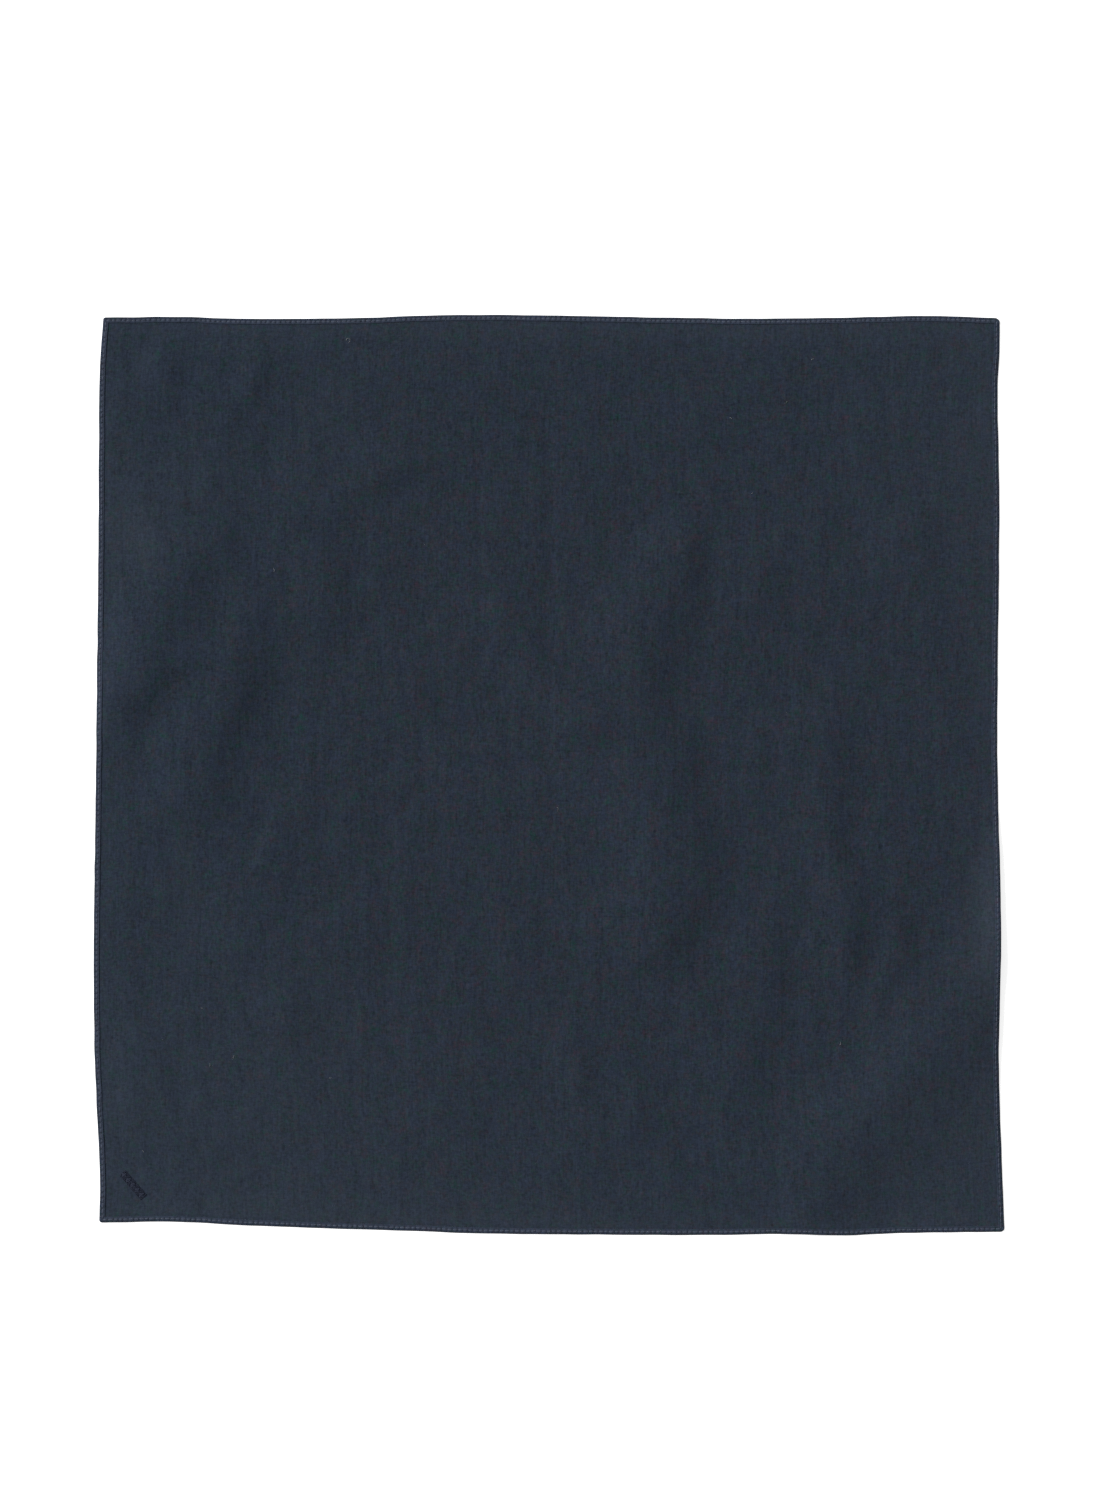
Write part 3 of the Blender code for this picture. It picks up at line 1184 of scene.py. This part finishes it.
@dataclass(frozen=True)
class FloorFinish:
    """A pale, matt studio floor."""

    name: str = "studio_floor"
    light: Colour = (0.64, 0.64, 0.64)
    dark: Colour = (0.61, 0.61, 0.61)
    roughness: float = 0.9
    specular: float = 0.1
    glow: float = 0.70

    def make(self) -> bpy.types.Material:
        """Make the material.

        Returns:
            The material.
        """
        graph = MaterialGraph(self.name)
        cloudy = graph.noise(graph.add("TexCoord").outputs["Object"])
        return graph.finish({
            "Base Color": graph.mix(cloudy, self.dark, self.light),
            "Roughness": self.roughness,
            "Specular IOR Level": self.specular,
            "Emission Color": (1.0, 1.0, 1.0),
            "Emission Strength": self.glow,
        })


PANEL_CLOTH = ClothFinish(
    "navy_cotton",
    upright=(0.0037, 0.0262, 0.0246),
    cross=(0.0249, 0.0144, 0.0272),
    clear=(0.0124, 0.0188, 0.0344),
    rubbed_and_lit=(0.036, 0.046, 0.062),
)
# The hem's cloth is a little paler and bluer than the panel's, partly as painted light on the
# raised hem.
HEM_CLOTH = ClothFinish(
    "navy_cotton_hem",
    upright=(0.0052, 0.0258, 0.0270),
    cross=(0.0238, 0.0152, 0.0295),
    clear=(0.0132, 0.0196, 0.0370),
    rubbed_and_lit=(0.038, 0.048, 0.075),
)
HEM_THREAD = ThreadFinish("hem_thread", dark=(0.026, 0.034, 0.052), light=(0.066, 0.080, 0.118))
MOTIF_THREAD = ThreadFinish(
    "embroidery_thread",
    dark=(0.0066, 0.0094, 0.0202),
    light=(0.0156, 0.0210, 0.0420),
    specular=0.18,
    sheen=0.05,
)
LINT_FIBRE = ThreadFinish(
    "lint_fibre", dark=(0.12, 0.13, 0.14), light=(0.30, 0.31, 0.31), specular=0.1
)
LOOSE_FIBRE = ThreadFinish("loose_fibre", dark=(0.03, 0.038, 0.055), light=(0.08, 0.09, 0.12))


class Wardrobe:
    """Makes each finish's material once, and dresses every piece in its own."""

    def __init__(self) -> None:
        """Build the shared effects."""
        self.effects = SharedEffects()
        self.materials: dict[ClothFinish | ThreadFinish, bpy.types.Material] = {}

    def dress(
        self, sketch: MeshSketch, name: str, finish: ClothFinish | ThreadFinish, *solids: str
    ) -> Piece:
        """Turn a sketch into a finished piece that rides on the one body.

        Args:
            sketch: the piece's mesh.
            name: the piece's name.
            finish: what it is made of.
            solids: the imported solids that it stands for.

        Returns:
            The piece, linked to the scene.
        """
        if finish not in self.materials:
            self.materials[finish] = finish.make(self.effects)
        piece = sketch.build(name, self.materials[finish], finish.measure)
        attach(piece, BODY)
        if solids:
            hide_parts(*solids)
        return piece


# --- Pieces ---


class Assembly(Protocol):
    """Anything that builds one visible piece."""

    def build(self, wardrobe: Wardrobe) -> Piece:
        """Build the piece and dress it."""


@dataclass
class Sheet:
    """The single cloth inside the hems: a thin shell with its folds and pressed lines.

    A share of its cells is packed within a short reach of the pressed lines, and a narrow
    border runs round its very edge.
    """

    form: ClothForm
    inset: float = 2.45 * MM
    cells: int = 218
    pressed_reach: float = 7 * MM
    pressed_share: float = 0.12
    border: float = 0.3 * MM

    def stations(self, half: float) -> Array:
        """Space the grid lines, closer together at the pressed line and at the very edge.

        Args:
            half: half the cloth's size this way.

        Returns:
            Nominal places from side to side.
        """
        steps = np.linspace(-1, 1, self.cells + 1)
        away, packed, near = np.abs(steps), self.pressed_share, self.pressed_reach
        edge = half - self.inset
        outer = near + (away - packed) / (1 - packed) * (edge - near)
        spaced = np.where(away < packed, away / packed * near, outer)
        inside = np.sign(steps) * np.minimum(spaced, edge - self.border)
        return np.concatenate([[-edge], inside, [edge]])

    def build(self, wardrobe: Wardrobe) -> Piece:
        """Build the sheet and thicken it upwards.

        Args:
            wardrobe: the finishes.

        Returns:
            The piece.
        """
        stations = (self.stations(half) for half in self.form.half)
        x, y = np.meshgrid(*stations, indexing="ij")
        sketch = MeshSketch()
        # The sheet's paling mask holds painted light towards the hems and on folds, and painted
        # shade in the crevice by the hems.
        sketch.add_grid(self.form.laid(x, y), np.stack([x, y, 0 * x], -1), self.form.faded(x, y))
        piece = wardrobe.dress(sketch, "cloth_sheet", PANEL_CLOTH, "cloth_panel")
        thicken = piece.modifiers.new("wall", "SOLIDIFY")
        thicken.thickness = CLOTH_WALL
        thicken.offset = 1.0
        return piece


@dataclass
class Hem:
    """One hem: the cloth turned in twice, with its fold, its stitched furrow and puckers.

    The top and bottom hems run the full width, and the side hems end between them. rounding
    and stitches_stop hold a length for each kind, the full-width one first. The ridge's paling
    at the hem's two ends, partly wear and partly painted light, is given as a pair, and
    pucker_size runs across and along the hem.
    """

    form: ClothForm
    side: Side
    pitch: float
    rub_and_light: tuple[float, float]
    step: float = 0.27 * MM
    width: float = 2.9 * MM
    overlap: float = 0.5 * MM
    rounding: tuple[float, float] = (0.7 * MM, 1.3 * MM)
    end_fullness: float = 0.25
    stitches_stop: tuple[float, float] = (1.7 * MM, -0.6 * MM)
    stitch_inset: float = 1.62 * MM
    jitter: float = 0.06
    pucker: float = 0.20 * MM
    pucker_size: tuple[float, float] = (0.62 * MM, 0.55 * MM)
    puff: float = 0.07 * MM
    puff_inset: float = 1.25 * MM
    puff_size: float = 0.75 * MM
    middle: float = 0.4 * MM
    face: float = 0.42 * MM
    lean: float = 0.05
    lean_lengths: tuple[float, float] = (14 * MM, 60 * MM)
    clear: float = 0.01 * MM
    hole_crevice_painted_shade: float = 0.9
    most_rubbed_and_lit: float = 1.3

    # The section, from the inner fold over the face, round the outer fold and back beneath:
    # how far in from the outer edge and how high, in millimetres, and how much paler it is
    # painted, most on the raised ridge: partly wear, partly painted highlight.
    SECTION = (
        (2.80, 0.22, 0.0), (2.98, 0.36, 0.1), (2.94, 0.45, 0.1), (2.72, 0.55, 0.3),
        (2.42, 0.62, 0.6), (2.08, 0.66, 0.9), (1.76, 0.67, 1.0), (1.42, 0.69, 0.8),
        (1.06, 0.69, 0.4), (0.66, 0.64, 0.1), (0.28, 0.52, 0.0), (0.04, 0.35, 0.0),
        (0.12, 0.16, 0.1), (0.50, 0.04, 0.2), (1.10, 0.02, 0.1), (1.62, 0.14, 0.0),
        (2.10, 0.03, 0.1), (2.50, 0.05, 0.0),
    )

    @property
    def reach(self) -> float:
        """Half the hem's nominal length."""
        half = self.form.half[1 - self.side.axis]
        return half if self.side.axis == 1 else half - self.width + self.overlap

    def suited(self, pair: tuple[float, float]) -> float:
        """Return the one of a pair that is for this kind of hem."""
        return pair[0] if self.side.axis == 1 else pair[1]

    def needle_holes(self) -> Array:
        """Space the needle holes, a little unevenly.

        Returns:
            Their nominal places along the side.
        """
        edge = self.reach - self.suited(self.stitches_stop)
        count = round(2 * edge / self.pitch)
        holes = np.linspace(-edge, edge, count + 1)
        draw = np.random.default_rng(Seed.NEEDLE_HOLES.on(self.side))
        holes[1:-1] += draw.normal(0, self.jitter * self.pitch, count - 1)
        return holes

    def fullness(self, along: Array) -> Array:
        """Return how full the section is at each place, rounding off at both ends."""
        t = np.clip((self.reach - np.abs(along)) / self.suited(self.rounding), 0, 1)
        return self.end_fullness + (1 - self.end_fullness) * np.sqrt(1 - (1 - t) ** 2)

    def furrow(self, along: Array, inset: Array) -> Array:
        """Work out how far the stitches pull the hem's face down.

        Args:
            along: nominal places along the side.
            inset: distances in from the outer edge.

        Returns:
            Depths in metres, negative where the hem puffs up between needle holes.
        """
        nearest = np.abs(along[..., None] - self.needle_holes()).min(-1)
        wide, long = self.pucker_size
        across = np.exp(-(((inset - self.stitch_inset) / wide) ** 2))
        dip = self.pucker * np.exp(-((nearest / long) ** 2)) * across
        ridge = np.exp(-(((inset - self.puff_inset) / self.puff_size) ** 2))
        swell = self.puff * (nearest / (self.pitch / 2)).clip(0, 1) ** 1.5 * ridge
        return dip - swell

    def surface(self, along: Array, inset: Array, height: Array) -> Array:
        """Place points of the hem.

        Args:
            along: nominal places along the side.
            inset: distances in from the outer edge.
            height: heights over the cloth's underside.

        Returns:
            (..., 3) points.
        """
        out = self.side.sign * (self.form.half[self.side.axis] - inset)
        points = self.form.laid(*((out, along) if self.side.axis == 0 else (along, out)))
        points[..., 2] += height
        return points

    def build(self, wardrobe: Wardrobe) -> Piece:
        """Build the hem as one closed piece.

        Args:
            wardrobe: the finishes.

        Returns:
            The piece.
        """
        count = round(2 * self.reach / self.step)
        along = np.linspace(-self.reach, self.reach, count + 1)
        section = np.array(self.SECTION)
        inset, height = section[:, 0] * MM, section[:, 1] * MM
        s, d = np.meshgrid(along, inset, indexing="ij")
        h = np.broadcast_to(height, s.shape)
        face = h > self.face
        furrow = self.furrow(s, d)
        h = np.where(face, h - furrow, h)
        h = self.middle + (h - self.middle) * self.fullness(s)
        lean = Ripples(Seed.HEM_LEAN.on(self.side), *self.lean_lengths).along(along)
        h = np.where(face, h * (1 + self.lean * lean[:, None]), h)
        points = self.surface(s, d, h)
        points[..., 2] = np.maximum(points[..., 2], self.clear)
        turned = np.concatenate([[0], np.cumsum(np.hypot(np.diff(inset), np.diff(height)))])
        across = np.broadcast_to(turned, s.shape)
        measure = [across, s] if self.side.axis == 0 else [s, across]
        # The ridge is painted paler, partly wear and partly painted highlight, held back in the
        # dips at the needle holes.
        rub_and_light = np.interp(s, (-self.reach, self.reach), self.rub_and_light) * section[:, 2]
        worn = rub_and_light * np.clip(1 - furrow / self.pucker * self.hole_crevice_painted_shade, 0, self.most_rubbed_and_lit)
        sketch = MeshSketch()
        sketch.add_grid(points, np.stack([*measure, np.zeros_like(s)], -1), worn, ring=True)
        return wardrobe.dress(sketch, f"rolled_{self.side.node}", HEM_CLOTH, self.side.node)


class Lie(Enum):
    """How a stitch lies: its height at the holes and at its middle's arch, and its flatness."""

    FACE = (0.44, 0.31, 0.85)
    BENEATH = (0.30, -0.18, 0.6)


@dataclass
class HemStitching:
    """The stitches of one hem: a thread over its face and one beneath, hole to hole.

    sunk is the share of a stitch that stays inside each hole.
    """

    hem: Hem
    radius: float = 0.15 * MM
    end_thinness: float = 0.55
    sunk: float = 0.02
    roundness: float = 0.6
    rings: int = 9
    sides: int = 7
    slant: float = 0.05 * MM
    slant_turn: float = 2.4
    stray: float = 0.035 * MM
    shade_step: float = 0.71
    most_worn: float = 0.5

    def add_stitch(
        self, sketch: MeshSketch, lie: Lie, index: int, holes: tuple[float, float],
        inset: float, worn: float,
    ) -> None:
        """Shape one stitch between two needle holes.

        Args:
            sketch: the mesh that it joins.
            lie: which side of the hem it lies on.
            index: the stitch's number, which slants and shades it.
            holes: the two holes' nominal places along the side.
            inset: distance in from the outer edge.
            worn: how worn it is.
        """
        foot, rise, flatten = lie.value
        t = np.linspace(self.sunk, 1 - self.sunk, self.rings)
        along = holes[0] + (holes[1] - holes[0]) * t
        slant = self.slant * math.sin(index * self.slant_turn)
        arch = np.sin(math.pi * t) ** self.roundness
        path = self.hem.surface(along, inset + slant * (2 * t - 1), (foot + rise * arch) * MM)
        radii = self.radius * (self.end_thinness + (1 - self.end_thinness) * arch)
        points = tube_sections(path, radii, self.sides, flatten)
        points[..., 2] = np.maximum(points[..., 2], 0.0)
        measure = thread_measure(along - holes[0], self.sides, index * self.shade_step)
        sketch.add_grid(points, measure, worn, ring=True)

    def build(self, wardrobe: Wardrobe) -> Piece:
        """Build every stitch of the hem as one joined piece.

        Args:
            wardrobe: the finishes.

        Returns:
            The piece.
        """
        sketch = MeshSketch()
        draw = np.random.default_rng(Seed.STITCHES.on(self.hem.side))
        for index, holes in enumerate(pairwise(self.hem.needle_holes())):
            for lie in Lie:
                inset = self.hem.stitch_inset + draw.normal(0, self.stray)
                worn = float(draw.uniform(0, self.most_worn))
                number = 2 * index + (lie is Lie.FACE)
                self.add_stitch(sketch, lie, number, holes, inset, worn)
        return wardrobe.dress(sketch, f"stitches_{self.hem.side.node}", HEM_THREAD)


@dataclass
class CornerMotif:
    """A band of satin-stitched lozenges across the lower left corner.

    The lozenges' threads run across the band, and the corners between the lozenges are filled
    with threads that run along it.
    """

    form: ClothForm
    base: float = 0.33 * MM
    lozenges: int = 5
    threads: int = 19
    threads_span: float = 0.96
    fill_threads: int = 6
    fill_span: tuple[float, float] = (0.22, 0.97)
    rings: int = 9
    sides: int = 6
    radius: float = 0.125 * MM
    end_thinness: float = 0.7
    gap: float = 0.12 * MM
    half_width: float = 1.95 * MM
    overhang: float = 0.06 * MM
    heading: float = math.radians(-49)
    pad: float = 0.22 * MM
    least_pad: float = 0.5
    fill_pad: float = 0.6
    pad_reach: float = 0.98
    stray: float = 0.01 * MM
    uneven: float = 0.03 * MM
    shades: float = 50.0
    most_worn: float = 0.35
    sketch: MeshSketch = field(default_factory=MeshSketch)
    draw: np.random.Generator = field(
        default_factory=lambda: np.random.default_rng(Seed.EMBROIDERY)
    )

    def thread(self, middle: Array, way: Array, reach: float, pad: float) -> None:
        """Lay one padded satin thread on the cloth.

        Args:
            middle: the plan place of its middle.
            way: the plan direction that it runs in, of length 1.
            reach: half its length.
            pad: how high its middle stands over its ends.
        """
        t = np.linspace(-1, 1, self.rings)
        flat = middle + self.draw.normal(0, self.stray, 2) + way * (t * reach)[:, None]
        lift = self.base + pad * np.sqrt(1 - (self.pad_reach * t) ** 2)
        path = np.column_stack([flat, self.form.height(flat[:, 0], flat[:, 1]) + lift])
        swell = (1 - self.end_thinness) * np.cos(t * math.pi / 2)
        points = tube_sections(path, self.radius * (self.end_thinness + swell), self.sides)
        measure = thread_measure(t * reach, self.sides, self.draw.uniform(0, self.shades))
        worn = float(self.draw.uniform(0, self.most_worn))
        self.sketch.add_grid(points, measure, worn, ring=True)

    def build(self, wardrobe: Wardrobe) -> Piece:
        """Build every satin thread as one joined piece, in the place of its solid.

        Args:
            wardrobe: the finishes.

        Returns:
            The piece.
        """
        low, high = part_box("corner_embroidery")
        middle = (np.array(low) + np.array(high))[:2] / 2
        run = np.array([math.cos(self.heading), math.sin(self.heading)])
        across = np.array([-run[1], run[0]])
        cell = (high[0] - low[0] - 2 * self.half_width * abs(run[1])) / abs(run[0]) / self.lozenges
        for lozenge in range(self.lozenges):
            at = cell * (lozenge + 0.5 - self.lozenges / 2)
            for offset in np.linspace(-self.threads_span, self.threads_span, self.threads):
                reach = self.half_width * (1 - abs(offset)) + self.overhang
                reach += abs(self.draw.normal(0, self.uneven))
                pad = self.pad * (self.least_pad + reach / self.half_width)
                foot = middle + run * (at + offset * (cell / 2 - self.gap / 2))
                self.thread(foot, across, reach, pad)
        for corner in range(self.lozenges + 1):
            at = cell * (corner - self.lozenges / 2)
            for side in (-1, 1):
                for share in np.linspace(*self.fill_span, self.fill_threads):
                    reach = cell / 2 * share - self.gap
                    foot = middle + run * at + across * side * share * self.half_width
                    if corner in (0, self.lozenges):
                        reach /= 2
                        foot += run * reach * (1 if corner == 0 else -1)
                    self.thread(foot, run, reach, self.pad * self.fill_pad)
        return wardrobe.dress(self.sketch, "satin_lozenges", MOTIF_THREAD, "corner_embroidery")


@dataclass(frozen=True)
class Fibre:
    """A fibre that lies on the cloth, in metres and radians.

    It sets off from x, y on its heading and turns by its curl, and its middle stands off the
    cloth by its loft.
    """

    x: float
    y: float
    length: float
    heading: float
    curl: float
    radius: float
    loft: float
    clear: float = 0.03 * MM
    end_thinness: float = 0.35
    rings: int = 9
    sides: int = 5

    def sections(self, form: ClothForm) -> Array:
        """Shape the fibre.

        Args:
            form: the cloth that it lies on.

        Returns:
            Its sections.
        """
        t = np.linspace(0, 1, self.rings)
        angle = (self.heading + self.curl * t)[:-1]
        step = self.length / (self.rings - 1)
        x = self.x + np.concatenate([[0], np.cumsum(np.cos(angle) * step)])
        y = self.y + np.concatenate([[0], np.cumsum(np.sin(angle) * step)])
        arch = np.sin(math.pi * t)
        lift = CLOTH_WALL + self.clear + self.radius + self.loft * arch
        path = np.column_stack([x, y, form.height(x, y) + lift])
        radii = self.radius * (self.end_thinness + (1 - self.end_thinness) * arch)
        return tube_sections(path, radii, self.sides)


def speck(x: float, y: float, length: float, heading: float, curl: float) -> Fibre:
    """Return a bit of pale lint, from its place and length in millimetres and its degrees."""
    heading, curl = math.radians(heading), math.radians(curl)
    return Fibre(x * MM, y * MM, length * MM, heading, curl, radius=0.07 * MM, loft=0.12 * MM)


SPECKS = (
    speck(-100, 215.5, 5.0, 20, 300),
    speck(-137, 101, 2.2, 70, 60),
    speck(132, 207, 1.8, 160, 90),
    speck(117.5, 185, 1.6, 30, 50),
    speck(91, 177, 2.0, 100, 120),
    speck(100.5, 140, 1.4, 10, 40),
    speck(4, -18, 2.2, 45, 100),
    speck(-172, -116.5, 1.8, 130, 80),
    speck(-158, -141, 2.4, 0, 150),
    speck(-169, -145, 1.5, 60, 60),
    speck(-108, -151, 1.8, 150, 70),
    speck(-202, -188, 1.4, 80, 100),
    speck(144.5, -134.5, 2.0, 35, 90),
)


@dataclass(frozen=True)
class Fuzz:
    """The loose fibre ends that stand all over the cloth, their lengths in millimetres."""

    count: int = 420
    spread: float = 0.97
    lengths: tuple[float, float] = (0.8, 2.4)
    curliness: float = 1.6
    radius: float = 0.013 * MM
    lofts: tuple[float, float] = (0.05, 0.3)

    def fibres(self, form: ClothForm) -> list[Fibre]:
        """Draw each fibre.

        Args:
            form: the cloth that they lie on.

        Returns:
            The fibres.
        """
        draw = np.random.default_rng(Seed.FUZZ)
        fibres = []
        for _ in range(self.count):
            x, y = (draw.uniform(-self.spread, self.spread) * half for half in form.half)
            length, heading = draw.uniform(*self.lengths) * MM, draw.uniform(0, math.tau)
            curl, loft = draw.normal(0, self.curliness), draw.uniform(*self.lofts) * MM
            fibres.append(Fibre(x, y, length, heading, curl, self.radius, loft))
        return fibres


@dataclass
class StrewnFibres:
    """Fibres strewn over the cloth, joined as one piece."""

    form: ClothForm
    name: str
    finish: ThreadFinish
    fibres: Sequence[Fibre]
    worn: float = 0.0

    def build(self, wardrobe: Wardrobe) -> Piece:
        """Build the fibres.

        Args:
            wardrobe: the finishes.

        Returns:
            The piece.
        """
        sketch = MeshSketch()
        for fibre in self.fibres:
            sections = fibre.sections(self.form)
            sketch.add_grid(sections, sections, self.worn, ring=True)
        return wardrobe.dress(sketch, self.name, self.finish)


# --- Studio ---


@dataclass
class Studio:
    """The pale floor, the soft lights and the camera straight above the cloth."""

    aim: tuple[float, float] = (2.2 * MM, 12.2 * MM)
    view_height: float = 747.5 * MM
    lens: float = 100.0
    sensor: float = 36.0
    floor_size: float = 6.0
    floor_drop: float = 0.05 * MM
    key_strength: float = 5.6
    key_softness: float = math.radians(24)
    key_height: float = math.radians(28)
    key_heading: float = math.radians(155)
    key_distance: float = 2.0
    ambient: float = 0.38

    def lay_floor(self) -> None:
        """Lay the floor just under the resting plane."""
        level = CAD_BOX[0][2] - self.floor_drop
        bpy.ops.mesh.primitive_plane_add(size=self.floor_size, location=(0, 0, level))
        floor = bpy.context.object
        floor.name = "studio_floor"
        floor.data.materials.append(FloorFinish().make())

    def light(self) -> None:
        """Light the room evenly, with one broad soft key light low from the upper left."""
        scene = bpy.context.scene
        scene.view_settings.view_transform = "Standard"
        scene.world = bpy.data.worlds.new("studio")
        scene.world.use_nodes = True
        sky = scene.world.node_tree.nodes["Background"]
        sky.inputs["Color"].default_value = (1, 1, 1, 1)
        sky.inputs["Strength"].default_value = self.ambient
        key = bpy.data.lights.new("key", "SUN")
        key.energy = self.key_strength
        key.angle = self.key_softness
        lamp = bpy.data.objects.new("key", key)
        level = math.cos(self.key_height)
        towards = Vector((
            level * math.cos(self.key_heading),
            level * math.sin(self.key_heading),
            math.sin(self.key_height),
        ))
        lamp.location = towards * self.key_distance
        lamp.rotation_mode = "QUATERNION"
        lamp.rotation_quaternion = towards.to_track_quat("Z", "Y")
        scene.collection.objects.link(lamp)

    def place_camera(self) -> None:
        """Look straight down, far enough off to see the whole cloth and its margins."""
        data = bpy.data.cameras.new("camera")
        data.lens = self.lens
        data.sensor_width = self.sensor
        camera = bpy.data.objects.new("camera", data)
        camera.location = (*self.aim, self.view_height * self.lens / self.sensor)
        bpy.context.scene.collection.objects.link(camera)
        bpy.context.scene.camera = camera

    def build(self) -> None:
        """Set up the floor, the lights and the camera."""
        self.lay_floor()
        self.light()
        self.place_camera()


STITCH_PITCH = {
    Side.LEFT: 2.70 * MM,
    Side.RIGHT: 2.70 * MM,
    Side.BOTTOM: 2.60 * MM,
    Side.TOP: 2.50 * MM,
}

# How much paler each hem's ridge is painted at its two ends: partly wear, partly painted light,
# lightest on the left hem, which faces the key light, and least on the right, which faces away.
HEM_RUB_AND_LIGHT = {
    Side.LEFT: (1.04, 0.96),
    Side.RIGHT: (0.25, 0.25),
    Side.BOTTOM: (0.74, 0.46),
    Side.TOP: (0.88, 0.78),
}


def main() -> None:
    """Build the handkerchief piece by piece, and then its studio."""
    logging.basicConfig(level=logging.INFO, format="%(name)s: %(message)s")
    form, wardrobe = ClothForm(), Wardrobe()
    assemblies: list[Assembly] = [Sheet(form)]
    for side in Side:
        hem = Hem(form, side, STITCH_PITCH[side], HEM_RUB_AND_LIGHT[side])
        assemblies += [hem, HemStitching(hem)]
    assemblies += [
        CornerMotif(form),
        StrewnFibres(form, "lint_specks", LINT_FIBRE, SPECKS),
        StrewnFibres(form, "surface_fuzz", LOOSE_FIBRE, Fuzz().fibres(form), worn=0.6),
    ]
    for assembly in assemblies:
        assembly.build(wardrobe)
    Studio().build()


if __name__ == "__main__":
    main()
